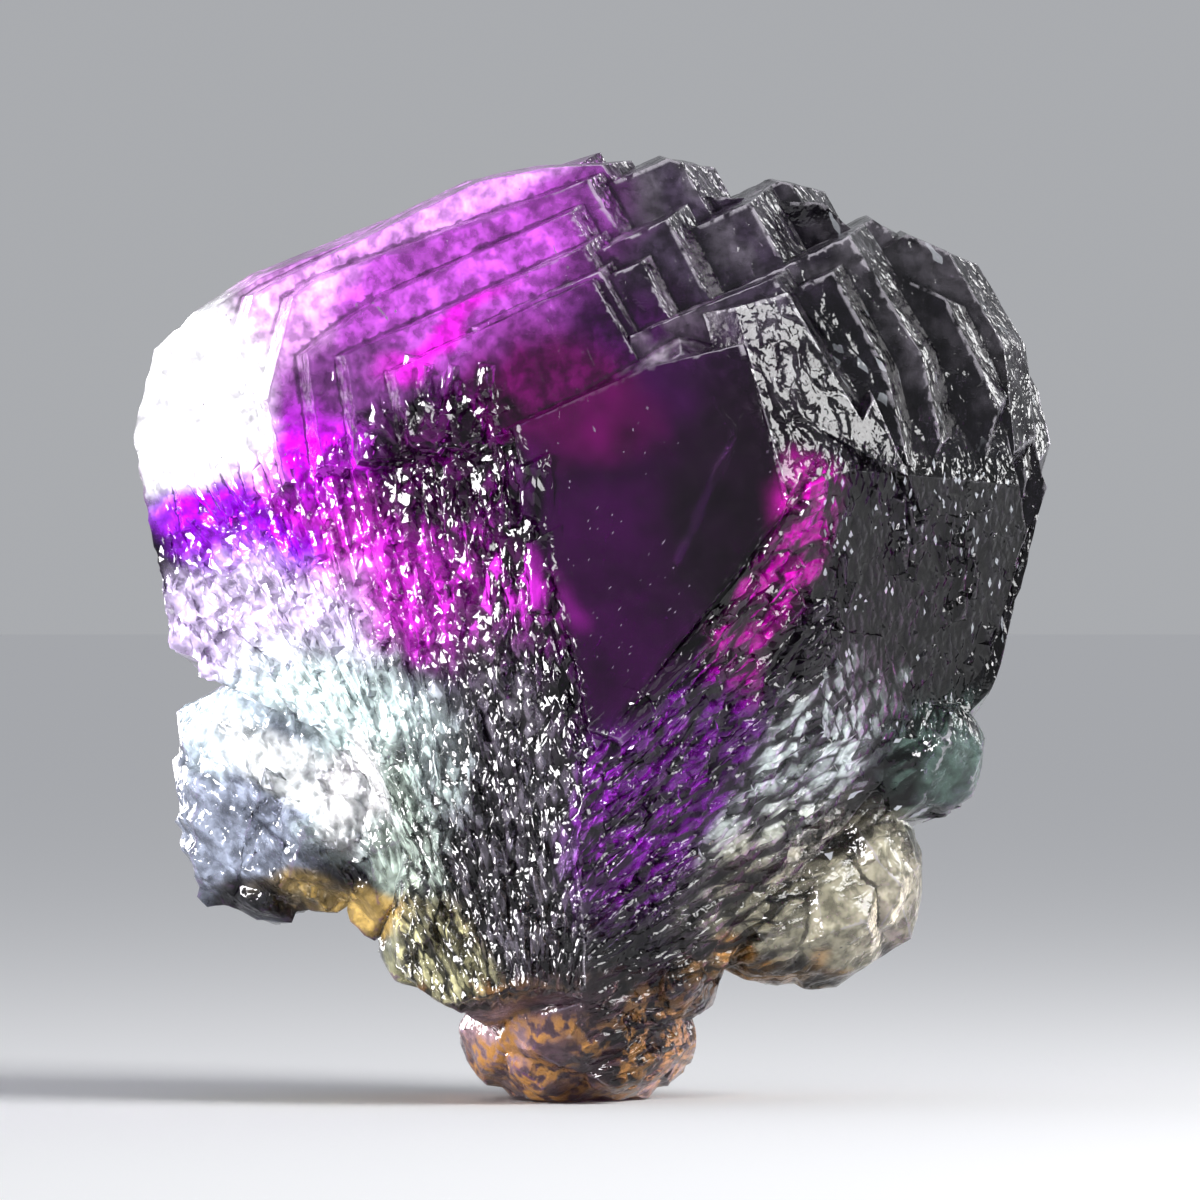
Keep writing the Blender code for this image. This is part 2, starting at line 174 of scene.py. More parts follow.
def scales(points, seed):
    """Noise from about -1 to 1 like etched scales. Each cell holds one strewn seed, and a point takes the
    height of its nearest seed, plus its offset from that seed times the scale's own tilt."""
    low = np.floor(points).astype(np.int64)
    nearest = np.full(len(points), np.inf)
    height = np.zeros(len(points))
    for step in np.ndindex(3, 3, 3):
        cell = low + step - 1
        strewn = np.stack([scattered(cell, seed + axis) for axis in (1, 2, 3)], axis=1)
        offset = points - cell - strewn
        distance = np.sum(offset * offset, axis=1)
        tilt = np.stack([scattered(cell, seed + axis) for axis in (4, 5, 6)], axis=1) - 0.5
        here = scattered(cell, seed) - 0.5 + np.sum(offset * tilt, axis=1)
        height = np.where(distance < nearest, here, height)
        nearest = np.minimum(distance, nearest)
    return 2 * height


def ramp(value, start, end):
    """0 at start, 1 at end, and 3t^2 - 2t^3 between them."""
    share = np.clip((value - start) / (end - start), 0, 1)
    return share * share * (3 - 2 * share)


OVAL_EDGE = (0.9, 1.25)


def oval(points, middle, half):
    """1 inside an ellipsoid with those half sizes, falling to 0 between 0.9 and 1.25 times them."""
    away = np.linalg.norm((points - middle) / half, axis=1)
    return 1 - ramp(away, *OVAL_EDGE)


def from_plane(points, a, b, c):
    """How far each point lies from the plane through three points."""
    a, b, c = np.array(a), np.array(b), np.array(c)
    normal = np.cross(b - a, c - a)
    normal /= np.linalg.norm(normal)
    return np.abs((points - a) @ normal)


# Corners of the smooth face and of the two long faces beside it, in millimetres
SMOOTH_FACE = ((-5.7, -16.0, 44.5), (13.0, -15.0, 40.2), (-0.2, -19.0, 23.5))
LEFT_FACE = ((-5.7, -16.0, 44.5), (-0.2, -19.0, 23.5), (-29.0, -2.5, 36.0))
RIGHT_FACE = ((13.0, -15.0, 40.2), (-0.2, -19.0, 23.5), (28.5, -0.5, 36.0))
# The lines of scales on a long face fan out from a point in the front view. At LINE_REACH from it they have
# their named width.
LINE_REACH = 42
LEFT_LINES_MEET = (-3.0, -12.0)
RIGHT_LINES_MEET = (-27.9, -7.2)
# Where the etching of a long face fades: how far off the face's plane, how far past the edge of the smooth
# face, and in z at the top of the right face. At the top of the left face: x, and z there.
OFF_PLANE = (1.6, 2.6)
PAST_EDGE = (-0.1, 0.4)
RIGHT_TOP = (42, 43.5)
LEFT_TOP_X = (-30.0, -22.0, -16.0, -11.0, -7.0, -3.0)
LEFT_TOP_Z = (37.5, 40.0, 45.5, 48.0, 46.5, 43.0)
# The patch of splinters over the left face: its middle and half sizes
SPLINTERS = ((-10.0, -13.0, 45.0), (4.6, 6.0, 3.2))
# The x between which the left side gives way to the right one
SIDES_MEET = (-2, 2)
# The back is etched less, between these heights
BACK_ETCHING = 0.7
BACK_FOOT = (7.5, 9)
BACK_TOP = (40, 43)


def about(points, meet, width, length):
    """Cells of that width and length in lines that run out from the point meet: angle times LINE_REACH over
    the width, y over the length, and distance from meet over the length."""
    over, up = points[:, 0] - meet[0], points[:, 2] - meet[1]
    turn = np.arctan2(over, up)
    return np.stack([turn * LINE_REACH / width, points[:, 1] / length, np.hypot(over, up) / length], axis=1)


def etched_shares(points, normals):
    """How far each point belongs to the left long face, and how far to the right one, from 0 to 1. A point
    near two faces belongs to the nearer one. The back is etched like the long faces, below its plates."""
    x, _, z = points.T
    outward = ramp(-normals[:, 1], 0.05, 0.3)
    backward = ramp(normals[:, 1], 0.0, 0.25)
    smooth = from_plane(points, *SMOOTH_FACE)
    to_left = from_plane(points, *LEFT_FACE)
    to_right = from_plane(points, *RIGHT_FACE)
    top = np.interp(x, LEFT_TOP_X, LEFT_TOP_Z) + 1.3 * rolling(points / 2.2, seed=23)
    left = (1 - ramp(to_left, *OFF_PLANE)) * (1 - ramp(to_left - smooth, *PAST_EDGE)) * ramp(-x, *SIDES_MEET)
    left = np.maximum(left, oval(points, *SPLINTERS))
    left = left * outward * (1 - ramp(z - top, -0.4, 0.4))
    right = (1 - ramp(to_right, *OFF_PLANE)) * (1 - ramp(to_right - smooth, *PAST_EDGE)) * ramp(x, -3, 1)
    right = right * outward * (1 - ramp(z, *RIGHT_TOP))
    back = BACK_ETCHING * backward * (1 - ramp(z, *BACK_TOP)) * ramp(z, *BACK_FOOT)
    left = np.maximum(left, back * ramp(-x, *SIDES_MEET))
    return left, np.maximum(right, back * ramp(x, *SIDES_MEET))


# The relief in millimetres. Scales on the long faces have a width, a length and a height, and smaller ones
# lie on them. Between these x they get lower, at the dark side of the right face.
LEFT_SCALE = (1.0, 2.6)
RIGHT_SCALE = (1.05, 3.0)
SCALE_HEIGHT = 0.20
SMALL_SCALE_HEIGHT = 0.08
LOWER_PAST = (13.5, 15.5)
# Terraces run along the plates' own steps, whose slope changes at SUMMIT_X
LEFT_STEP_SLOPE = math.radians(24.7)
RIGHT_STEP_SLOPE = math.radians(-60)
SUMMIT_X = 4
TERRACE_WIDTH = 1.5
TERRACE_HEIGHT = 0.08
# The lobes and the root are lumpy, and ridges run down the left lobe, past these x
LUMP_HEIGHT = 0.32
SMALL_LUMP_HEIGHT = 0.16
LOBE_STEP_SLOPE = math.radians(35)
LOBE_STEP_WIDTH = 2.3
LOBE_STEP_HEIGHT = 0.55
LEFT_LOBE_PAST = (14, 17)
# The smooth face: its middle and half sizes, and its faint relief
SMOOTH_PART = ((3.5, -17.5, 38.0), (9.0, 4.0, 14.0))
FAINT_HEIGHT = 0.015


def relief(points, normals):
    """Height in millimetres at each point. Each region has its own kind: upright scales on the left face,
    scales that fan up to the right on the right face, fine terraces on the plates, and lumps on the lobes and
    the root. A terrace or a ridge is a ramp over the fractional part of the distance across it."""
    x, _, z = points.T
    left, right = etched_shares(points, normals)
    left_lines = about(points, LEFT_LINES_MEET, *LEFT_SCALE)
    left_height = SCALE_HEIGHT * scales(left_lines, seed=3)
    left_height += SMALL_SCALE_HEIGHT * scales(left_lines * 2.1, seed=17)
    right_lines = about(points, RIGHT_LINES_MEET, *RIGHT_SCALE)
    right_height = SCALE_HEIGHT * scales(right_lines, seed=31)
    right_height += SMALL_SCALE_HEIGHT * scales(right_lines * 2.2, seed=47)
    right_height *= 1 - 0.5 * ramp(x, *LOWER_PAST)

    plates = (1 - left) * (1 - right) * ramp(z, 26, 30)
    slope = np.where(x < SUMMIT_X, LEFT_STEP_SLOPE, RIGHT_STEP_SLOPE)
    rise = -x * np.sin(slope) + z * np.cos(slope)
    wavy = (rise / TERRACE_WIDTH + 0.8 * rolling(points / 5, seed=5)) % 1
    terraces = TERRACE_HEIGHT * (ramp(wavy, 0.35, 0.65) - 0.5) * (1 + rolling(points / 3, seed=8))

    lobes = ramp(-z, -26, -20) * (1 - left) * (1 - right)
    lumpy = LUMP_HEIGHT * rolling(points / 2.6, seed=61) + SMALL_LUMP_HEIGHT * rolling(points / 1.2, seed=62)
    fall = (x * math.sin(LOBE_STEP_SLOPE) + z * math.cos(LOBE_STEP_SLOPE)) / LOBE_STEP_WIDTH
    fall = (fall + 0.5 * rolling(points / 4, seed=63)) % 1
    ridges = ramp(fall, 0.1, 0.8) * (1 - ramp(fall, 0.85, 1.0)) - 0.5
    lumpy += LOBE_STEP_HEIGHT * ridges * ramp(-x, *LEFT_LOBE_PAST)

    smooth_part = oval(points, *SMOOTH_PART) * ramp(-normals[:, 1], 0.9, 0.97)
    faint = FAINT_HEIGHT * rolling(points / 1.4, seed=71)
    height = left * left_height + right * right_height + plates * terraces + lobes * lumpy
    return height * (1 - smooth_part) + smooth_part * faint


def vertices_of(mesh):
    """The vertices in millimetres, and their normals."""
    places = np.empty(len(mesh.vertices) * 3, np.float32)
    normals = np.empty(len(mesh.vertices) * 3, np.float32)
    mesh.vertices.foreach_get("co", places)
    mesh.vertex_normals.foreach_get("vector", normals)
    return places.reshape(-1, 3).astype(float) / MM, normals.reshape(-1, 3).astype(float)


def raised(mesh):
    """Moves each vertex along its normal by the relief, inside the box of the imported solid."""
    points, normals = vertices_of(mesh)
    points += normals * relief(points, normals)[:, None]
    points = np.clip(points * MM, np.array(CAD_LOW), np.array(CAD_HIGH))
    mesh.vertices.foreach_set("co", points.astype(np.float32).ravel())
    mesh.update()


# The rounded parts: the root below its top, and each lobe or knob past its x and below its z
ROOT_TOP = 8.5
LEFT_LOBE = (-13, 25)
CREAM_LOBE = (7, 17)
GREEN_KNOB = (19, 27)


def smoothed(mesh):
    """Leaves no sharp edges on the lobes and the root, which are rounded."""
    points, _ = vertices_of(mesh)
    x, _, z = points.T
    ends = np.empty(len(mesh.edges) * 2, np.int32)
    mesh.edges.foreach_get("vertices", ends)
    first = ends.reshape(-1, 2)[:, 0]
    left_lobe = (x < LEFT_LOBE[0]) & (z < LEFT_LOBE[1])
    cream_lobe = (x > CREAM_LOBE[0]) & (z < CREAM_LOBE[1])
    green_knob = (x > GREEN_KNOB[0]) & (z < GREEN_KNOB[1])
    rounded = (z < ROOT_TOP) | left_lobe | cream_lobe | green_knob
    sharp = mesh.attributes["sharp_edge"].data
    flags = np.empty(len(mesh.edges), bool)
    sharp.foreach_get("value", flags)
    flags &= ~rounded[first]
    sharp.foreach_set("value", flags)


# The fluorite itself: see-through and strongly coloured in zones, white and pink at one side, nearly black at
# the other, with iron stain on the root. Zones are soft ovals in the front view, in millimetres.
# Outside every zone it is of the colour SMOKE.
SMOKE = (0.006, 0.005, 0.008)
ZONES = [
    # name, x, z, half width, half height, turn in degrees, colour
    ("purple_body", -5.0, 38.0, 16.0, 17.0, 0, (0.042, 0.001, 0.060)),
    ("smooth_face", 2.5, 35.5, 9.0, 13.0, 0, (0.016, 0.0, 0.020)),
    ("black_shoulder", 9.0, 40.0, 5.5, 9.0, 15, (0.005, 0.001, 0.006)),
    ("grey_summit", 7.0, 57.0, 8.0, 5.0, 25, (0.034, 0.024, 0.044)),
    ("magenta_heart", -4.0, 47.5, 7.5, 4.2, 25, (0.060, 0.0, 0.044)),
    ("pink_plates", -11.5, 54.0, 13.0, 6.0, -25, (0.36, 0.06, 0.44)),
    ("pale_rim", -12.0, 59.2, 12.0, 2.2, -25, (0.64, 0.27, 0.74)),
    ("blush", -20.6, 52.2, 3.6, 3.6, -25, (0.78, 0.36, 0.86)),
    ("frosted_purple", -15.6, 47.0, 4.6, 4.0, -10, (0.13, 0.03, 0.16)),
    ("magenta_streak", -10.0, 50.9, 4.6, 1.0, -32, (0.66, 0.01, 0.62)),
    ("left_violet", -20.5, 41.0, 5.0, 4.8, 0, (0.52, 0.0, 0.72)),
    ("left_magenta", -13.5, 35.0, 9.5, 5.0, 18, (0.66, 0.02, 0.66)),
    ("dark_splinters", -10.6, 41.6, 5.4, 4.6, -20, (0.050, 0.001, 0.052)),
    # clear_corner and the pale zones of the lower left are near white partly as pale stone and partly as
    # painted glow of light shining through
    ("clear_corner", -27.0, 46.8, 5.4, 7.2, 0, (0.97, 0.98, 1.0)),
    ("violet_band", -24.0, 37.6, 5.4, 2.2, 14, (0.36, 0.0, 0.86)),
    ("lilac_scales", -22.0, 31.5, 7.5, 4.5, 15, (0.74, 0.62, 0.92)),
    ("mint_scales", -17.0, 23.5, 8.5, 6.0, 20, (0.80, 1.0, 0.96)),
    ("grey_laths", -5.8, 18.5, 4.4, 12.0, -4, (0.090, 0.082, 0.100)),
    ("green_laths", -12.4, 15.5, 2.2, 8.5, 0, (0.36, 0.44, 0.38)),
    ("right_magenta", 11.0, 34.0, 2.8, 7.8, 22, (0.85, 0.0, 0.58)),
    ("right_violet", 4.2, 21.0, 5.0, 8.5, 30, (0.20, 0.004, 0.34)),
    ("white_green_fan", 12.4, 20.5, 3.0, 9.0, 35, (0.86, 1.0, 0.95)),
    ("green_knob", 23.0, 22.0, 4.2, 5.5, 0, (0.085, 0.14, 0.115)),
    ("cream_lobe", 15.0, 12.8, 8.5, 6.5, 0, (0.40, 0.38, 0.27)),
    ("orange_stain", 11.0, 8.8, 4.5, 1.4, 0, (0.55, 0.28, 0.07)),
    ("lilac_lobe", -24.0, 19.0, 5.5, 8.0, 0, (0.22, 0.25, 0.32)),
    # The lobe's pale spot, white edge and white patch are partly pale stone and partly painted glow of light
    # shining through
    ("lobe_painted_glow", -25.4, 24.6, 3.0, 3.0, 30, (0.46, 0.56, 0.62)),
    ("white_lobe_edge", -20.0, 21.2, 7.0, 1.5, 24, (0.95, 1.0, 0.99)),
    ("white_patch", -16.2, 20.4, 2.2, 3.4, 0, (1.0, 1.0, 1.0)),
    ("ochre_rim", -16.0, 12.8, 7.5, 1.4, 12, (0.46, 0.31, 0.09)),
    ("black_tip", -23.4, 13.4, 2.8, 1.9, 0, (0.012, 0.012, 0.014)),
    ("olive_foot", -11.0, 9.6, 3.4, 3.6, 0, (0.32, 0.31, 0.17)),
    ("brown_root", -1.3, 3.4, 9.5, 4.8, 0, (0.080, 0.046, 0.058)),
    ("pale_root_end", -7.0, 4.4, 2.4, 2.8, 20, (0.27, 0.17, 0.19)),
    ("dark_root_end", 3.8, 4.6, 2.2, 2.6, 0, (0.030, 0.020, 0.034)),
]

CLOUDINESS = 0.40
# How much weaker magenta, violet and the laths' grey are behind the front, and the y between which they fade
FADED = 0.85
FADE = (1, 8)
# Depths of the front plates behind the smooth face, and the z over which their steep edges begin
PLATE_DEPTHS = (0.0, 2.4, 3.0, 3.6, 4.4, 5.6, 6.8, 9.2, 11.8, 14.6)
PLATE_FOOT = (44.5, 46.5)
# The grey of frost and painted sheen on the right plates' steep edges, and the pale of a painted highlight on
# them
FROST_AND_SHEEN = (0.13, 0.12, 0.14)
RISER_HIGHLIGHT = (0.44, 0.40, 0.46)
# Ovals in the front view: x, z, half width, half height, turn and blur
SMOOTH_OVAL = (3.0, 36.5, 9.5, 13.0, 0, 0.2)
RISER_HIGHLIGHT_OVAL = (1.0, 53.0, 6.0, 4.0)
LOBE_OVAL = (-21, 19.5, 9, 8, 0, 0.2)
# Where a painted glow of light shining through the pale side lightens the scales
PAINTED_GLOW_OVAL = (-24, 28, 13, 16, 25, 0.4)
CRACKED_OVAL = (14.5, 47.0, 4.5, 8.0, -30, 0.2)


def soft_oval(points, x, z, half_width, half_height, turn=0, blur=0.35):
    """1 inside an oval in the front view, 0 outside it. Its right end is turned down by turn, in degrees."""
    cosine, sine = math.cos(math.radians(turn)), math.sin(math.radians(turn))
    over, up = points[:, 0] - x, points[:, 2] - z
    along, across = over * cosine - up * sine, over * sine + up * cosine
    return 1 - ramp(np.hypot(along / half_width, across / half_height), 1 - blur, 1 + blur)


def wandering(points, size, distance, seed):
    """Points moved by smooth noise of that size, by up to that distance along each axis."""
    moves = [rolling(points / size, seed + axis) for axis in range(3)]
    return points + distance * np.stack(moves, axis=1)


def smooth_share(points):
    """1 on the smooth face, 0 elsewhere."""
    inside = soft_oval(points, *SMOOTH_OVAL)
    return inside * (1 - ramp(from_plane(points, *SMOOTH_FACE), 0.3, 0.8))


def riser_share(points):
    """1 on the steep edges between the front plates: at depths behind the smooth face that no plate has."""
    depth = from_plane(points, *SMOOTH_FACE)
    nearest = np.abs(depth[:, None] - np.array(PLATE_DEPTHS)).min(axis=1)
    return ramp(nearest, 0.10, 0.35) * ramp(points[:, 2], *PLATE_FOOT)


def zone_colours(points):
    """The stone's colour at each point. Each zone blends over those before it. Zones of the right long face
    stop at the smooth face, and magenta, violet and the laths' grey fade behind the front."""
    moved = wandering(wandering(points, 4.0, 1.3, seed=81), 1.6, 0.7, seed=91)
    beside = 1 - smooth_share(points)
    near = 1 - FADED * ramp(points[:, 1], *FADE)
    colours = np.tile(np.array(SMOKE), (len(points), 1))
    for name, x, z, half_width, half_height, turn, zone_colour in ZONES:
        share = soft_oval(moved, x, z, half_width, half_height, turn)
        if name.startswith("right"):
            share = share * beside
        if "magenta" in name or "violet" in name or "laths" in name:
            share = share * near
        colours += share[:, None] * (np.array(zone_colour) - colours)
    return colours


def edged(colours, points, normals):
    """The colours with the plates' steep edges: painted shade on the left plates, grey frost that is partly
    painted sheen on the right ones, and a painted highlight in spots in between. All of it is then clouded by
    two sizes of smooth noise."""
    x = points[:, 0]
    risers = riser_share(points) * ramp(-normals[:, 1], -0.2, 0.2)
    # Painted shade on the steep edges of the left plates
    colours *= (1 - 0.45 * risers * ramp(-x, -3, 0) * ramp(x, -24, -20))[:, None]
    # Grey frost, partly painted sheen, on those of the right plates
    frost_and_sheen = 0.45 * risers * ramp(x, 0, 3) * ramp(rolling(points / 1.6, seed=121), -0.5, 0.3)
    colours += frost_and_sheen[:, None] * (np.array(FROST_AND_SHEEN) - colours)
    # A painted highlight on the steep edges in one spot between them
    riser_highlight = risers * soft_oval(points, *RISER_HIGHLIGHT_OVAL)
    riser_highlight = riser_highlight * ramp(rolling(points / 1.3, seed=125), -0.3, 0.1)
    colours += riser_highlight[:, None] * (np.array(RISER_HIGHLIGHT) - colours)
    cloudy = rolling(points / 1.9, seed=111) + 0.6 * rolling(points / 0.9, seed=112)
    return colours * (1 + CLOUDINESS * cloudy)[:, None].clip(0.3, 1.5)


CREST_GAIN = 2.4


def crests(mesh, points, normals):
    """1 on ridges, 0 in grooves and 0.5 on flat ground: 0.5 plus CREST_GAIN times the mean sine by which the
    edges at a vertex fall away from the plane through it."""
    ends = np.empty(len(mesh.edges) * 2, np.int32)
    mesh.edges.foreach_get("vertices", ends)
    first, last = ends.reshape(-1, 2).T
    along = points[last] - points[first]
    along /= np.linalg.norm(along, axis=1)[:, None]
    fall = np.zeros(len(points))
    np.add.at(fall, first, -np.sum(along * normals[first], axis=1))
    np.add.at(fall, last, np.sum(along * normals[last], axis=1))
    fall /= np.bincount(ends, minlength=len(points))
    return np.clip(0.5 + CREST_GAIN * fall, 0, 1)


# Cells of the fine pattern: width and length in millimetres, region by region
LEFT_CELL = (0.80, 1.5)
RIGHT_CELL = (0.66, 2.1)
DARK_CELL = (0.50, 1.3)
PLATE_CELL = (1.5, 3.4)
SIDE_CELL = (0.9, 1.8)
PLATE_CELL_SLOPE = math.radians(30)
# Where the regions part: x of the ridge between the long faces, z of the plates, and x and z of the dark side
RIDGE = -1.2
PLATES_ABOVE = 43.5
DARK_SIDE = (14.7, 24.0)
# A triangle faces a side where its normal's y is under this
SIDEWAYS = 0.4
WARP = 0.35


def pattern_cells(points, middles, facing):
    """Flat coordinates in cells of the fine pattern, for the corners of triangles, warped by smooth noise.
    Each triangle takes the lines of the region its middle lies in, and one that faces a side takes y for
    its width."""
    x, y, z = points.T
    left = about(points, LEFT_LINES_MEET, *LEFT_CELL)[:, [0, 2]]
    right = about(points, RIGHT_LINES_MEET, *RIGHT_CELL)[:, [0, 2]]
    sine, cosine = math.sin(PLATE_CELL_SLOPE), math.cos(PLATE_CELL_SLOPE)
    across, along = x * cosine + z * sine, z * cosine - x * sine
    slanted = np.stack([across / PLATE_CELL[0], along / PLATE_CELL[1]], axis=1)
    upright = np.stack([x / DARK_CELL[0], z / DARK_CELL[1]], axis=1)
    sideways = np.stack([y / SIDE_CELL[0], z / SIDE_CELL[1]], axis=1)
    cells = np.where((middles[:, 0] > RIDGE)[:, None], right, left)
    dark_side = (middles[:, 0] > DARK_SIDE[0]) & (middles[:, 2] > DARK_SIDE[1])
    cells = np.where(dark_side[:, None], upright, cells)
    cells = np.where((middles[:, 2] > PLATES_ABOVE)[:, None], slanted, cells)
    cells = np.where((np.abs(facing) < SIDEWAYS)[:, None], sideways, cells)
    warp = [WARP * rolling(points / 1.7, seed=101), WARP * rolling(points / 1.7, seed=102)]
    return cells + np.stack(warp, axis=1)


def stained(points):
    """How far each point is stained with iron: in ragged patches on the root."""
    ragged = rolling(points / 2.4, seed=131) + 0.5 * rolling(points / 1.1, seed=132)
    return (1 - ramp(points[:, 2], 5.5, 9.0)) * ramp(ragged, -0.35, 0.25)


def coloured(mesh):
    """Writes three attributes on the mesh. zones holds the colour with the painted shade and highlight of the
    plates' edges, and the crests in alpha. finish holds how far a point is etched, gets painted glow, is
    cracked and is polished. cells holds the pattern's coordinates and the iron stain."""
    points, normals = vertices_of(mesh)
    left, right = etched_shares(points, normals)
    polished = smooth_share(points)
    lobe = soft_oval(points, *LOBE_OVAL)
    plates = (1 - polished) * ramp(points[:, 2], 43, 46) * (0.20 + 0.15 * ramp(points[:, 0], -6, 2))
    etched = np.clip(left + right + 0.7 * lobe + plates * (1 - left) * (1 - right), 0, 1)
    painted_glow = soft_oval(points, *PAINTED_GLOW_OVAL)
    cracked = soft_oval(points, *CRACKED_OVAL)
    colours = edged(zone_colours(points), points, normals)
    crest = crests(mesh, points, normals)[:, None]
    zones = mesh.attributes.new("zones", "FLOAT_COLOR", "POINT")
    zones.data.foreach_set("color", np.hstack([colours, crest]).astype(np.float32).ravel())
    kinds = mesh.attributes.new("finish", "FLOAT_COLOR", "POINT")
    finish = np.stack([etched, painted_glow, cracked, polished], axis=1)
    kinds.data.foreach_set("color", finish.astype(np.float32).ravel())

    corners = np.empty(len(mesh.loops), np.int32)
    mesh.loops.foreach_get("vertex_index", corners)
    facing = np.empty(len(mesh.polygons) * 3, np.float32)
    mesh.polygons.foreach_get("normal", facing)
    middles = points[corners].reshape(-1, 3, 3).mean(axis=1)
    facing = facing.reshape(-1, 3)[:, 1]
    cells = pattern_cells(points[corners], np.repeat(middles, 3, axis=0), np.repeat(facing, 3))
    stain = stained(points)[corners, None]
    pattern = mesh.attributes.new("cells", "FLOAT_VECTOR", "CORNER")
    pattern.data.foreach_set("vector", np.hstack([cells, stain]).astype(np.float32).ravel())


# Fluorite bends light little, and this one lets violet through best. ABSORPTION is per metre.
REFRACTION = 1.434
LET_THROUGH = (0.72, 0.50, 0.84, 1)
ABSORPTION = 18
CLARITY = 0.55
ROUGHNESS = (0.06, 0.20)
# The grain's patches to a metre, how much finer the second pattern is, and the depth of the finest relief
GRAIN = 1.25 / MM
FINER = 2.3
FINISH_DEPTH = 0.2 * MM
FINISH_STRENGTH = 0.8
# Dark colour of painted shade in the plates' grooves, dark line colour on the pink plates' ridges, and light
# colour of a painted highlight on the dark plates' ridges
GROOVE_SHADE_COLOUR = (0.004, 0.003, 0.005, 1)
DARK_RIM_COLOUR = (0.10, 0.03, 0.13, 1)
RIM_HIGHLIGHT_COLOUR = (0.46, 0.44, 0.48, 1)
SPECK_COLOUR = (0.16, 0.13, 0.18, 1)
# Colour of the painted glint on the splinters of the dark right side
PAINTED_GLINT_COLOUR = (0.66, 0.70, 0.74, 1)
RUST_COLOUR = (0.34, 0.16, 0.04, 1)
fluorite = bpy.data.materials.new("fluorite")
fluorite.use_nodes = True
tree = fluorite.node_tree
shader = tree.nodes["Principled BSDF"]


def feed(socket, value):
    """Links an output to an input, or sets the input to a plain value."""
    if isinstance(value, bpy.types.NodeSocket):
        tree.links.new(value, socket)
    else:
        socket.default_value = value


def calculated(operation, *values):
    """The operation done on the values. MULTIPLY_ADD is the first times the second plus the third."""
    step = tree.nodes.new("ShaderNodeMath")
    step.operation = operation
    for place, value in enumerate(values):
        feed(step.inputs[place], value)
    return step.outputs[0]


def eased(value, low, high, start=0.0, end=1.0):
    """Start at low, end at high, with a smooth step between."""
    span = tree.nodes.new("ShaderNodeMapRange")
    span.interpolation_type = "SMOOTHSTEP"
    feed(span.inputs["Value"], value)
    span.inputs["From Min"].default_value = low
    span.inputs["From Max"].default_value = high
    span.inputs["To Min"].default_value = start
    span.inputs["To Max"].default_value = end
    return span.outputs[0]


def mottle(vector, frequency, detail):
    """Smooth noise from 0 to 1, of that many patches to a metre, with finer noise added detail times."""
    noise = tree.nodes.new("ShaderNodeTexNoise")
    feed(noise.inputs["Vector"], vector)
    noise.inputs["Scale"].default_value = frequency
    noise.inputs["Detail"].default_value = detail
    return noise.outputs[0]


def blended(share, below, above, way="MIX"):
    """The colour below with the one above laid over it by share. A Mix node's inputs 6 and 7 are its two
    colours, and its output 2 is the mixed colour."""
    mix = tree.nodes.new("ShaderNodeMix")
    mix.data_type = "RGBA"
    mix.blend_type = way
    feed(mix.inputs["Factor"], share)
    feed(mix.inputs[6], below)
    feed(mix.inputs[7], above)
    return mix.outputs[2]


def written(name):
    """The node that reads an attribute of the stone."""
    reader = tree.nodes.new("ShaderNodeAttribute")
    reader.attribute_name = name
    return reader


def separated(colour):
    """A colour's red, green and blue."""
    parts = tree.nodes.new("ShaderNodeSeparateColor")
    feed(parts.inputs[0], colour)
    return parts.outputs


def cell_pattern(vector, frequency):
    """A random number for each cell, and how far a point lies from the cell's seed."""
    cells = tree.nodes.new("ShaderNodeTexVoronoi")
    cells.voronoi_dimensions = "2D"
    cells.distance = "MANHATTAN"
    feed(cells.inputs["Vector"], vector)
    cells.inputs["Scale"].default_value = frequency
    return separated(cells.outputs["Color"])[0], cells.outputs["Distance"]


in_metres = tree.nodes.new("ShaderNodeTexCoord").outputs["Object"]
where = tree.nodes.new("ShaderNodeSeparateXYZ")
feed(where.inputs[0], in_metres)
kinds = written("finish")
etched, painted_glow, cracked = separated(kinds.outputs["Color"])
polished = kinds.outputs["Alpha"]
cells = written("cells")
with_stain = tree.nodes.new("ShaderNodeSeparateXYZ")
feed(with_stain.inputs[0], cells.outputs["Vector"])
cell_number, from_seed = cell_pattern(cells.outputs["Vector"], 1.0)
fine_number, from_fine_seed = cell_pattern(cells.outputs["Vector"], FINER)

# Each scale on the etched faces is painted in its own shade from lit to unlit, with painted shade between the
# scales. Fine grain darkens and lightens all but the smooth face.
grain = mottle(in_metres, GRAIN, 2)
grainy = calculated("MULTIPLY_ADD", polished, -1.0, 1.0)
gap_shade = eased(from_seed, 0.42, 0.75, 1.0, 0.08)
shown = calculated("MULTIPLY", eased(cell_number, 0.15, 0.75, 0.14, 1.0), gap_shade)
shown = calculated("MULTIPLY", shown, eased(fine_number, 0.1, 0.5, 0.60, 1.0))
# Under the painted glow the scales' painted shade is halved
glow_softened_shade = calculated("MULTIPLY", painted_glow, calculated("MULTIPLY_ADD", shown, 0.50, 0.50))
shown = calculated("MAXIMUM", shown, glow_softened_shade)
shown = calculated("MULTIPLY_ADD", etched, calculated("SUBTRACT", shown, 1.0), 1.0)
clouded = calculated("MULTIPLY_ADD", eased(grain, 0.32, 0.66, -0.45, 0.30), grainy, 1.0)
shown = calculated("MULTIPLY", shown, clouded)
zones = written("zones")
crest = zones.outputs["Alpha"]
grey = tree.nodes.new("ShaderNodeCombineColor")
for socket in grey.inputs:
    feed(socket, shown)
colour = blended(1.0, zones.outputs["Color"], grey.outputs[0], "MULTIPLY")

